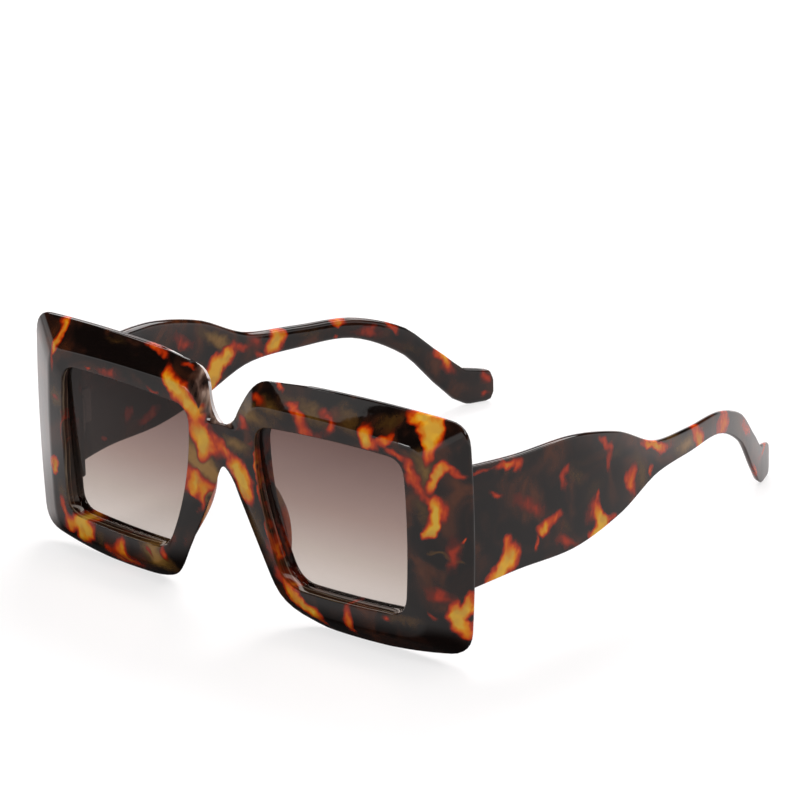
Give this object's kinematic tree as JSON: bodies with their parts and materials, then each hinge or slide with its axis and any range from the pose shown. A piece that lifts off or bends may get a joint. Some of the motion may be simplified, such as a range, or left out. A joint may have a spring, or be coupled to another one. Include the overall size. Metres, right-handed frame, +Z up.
{
  "type": "sunglasses",
  "caption": "Oversized square sunglasses with a bevelled tortoiseshell front, tinted lenses and wide temples that fold on barrel hinges and taper to slim drooping tips.",
  "frame": {"origin": "on the table below the middle of the whole pair with the temples open", "axes": "+X towards the wearer's left temple, +Y from the front to the temple tips, +Z up; the front faces -Y"},
  "size_m": [0.1484, 0.1617, 0.0632],
  "materials": {
    "acetate": "polished tortoiseshell",
    "pad": "polished, translucent",
    "lens": "polished, tinted darker towards the top",
    "hinge_steel": "brushed",
    "screw_steel": "polished"
  },
  "bodies": {
    "front": {"front_frame": "acetate", "lens_left": "lens", "lens_right": "lens", "nose_pad_left": "pad", "nose_pad_right": "pad", "front_hinge_left": "hinge_steel", "front_hinge_right": "hinge_steel", "hinge_screw_left": "screw_steel", "hinge_screw_right": "screw_steel"},
    "temple_left": {"temple_left": "acetate", "temple_hinge_left": "hinge_steel"},
    "temple_right": {"temple_right": "acetate", "temple_hinge_right": "hinge_steel"}
  },
  "joints": [
    {"name": "fold_left", "type": "hinge", "parent": "front", "child": "temple_left", "pos_m": [0.0648, -0.06698, 0.0338], "axis": [0, 0, 1], "range_deg": [0, 86]},
    {"name": "fold_right", "type": "hinge", "parent": "front", "child": "temple_right", "pos_m": [-0.0648, -0.06698, 0.0338], "axis": [0, 0, -1], "range_deg": [0, 79]}
  ]
}
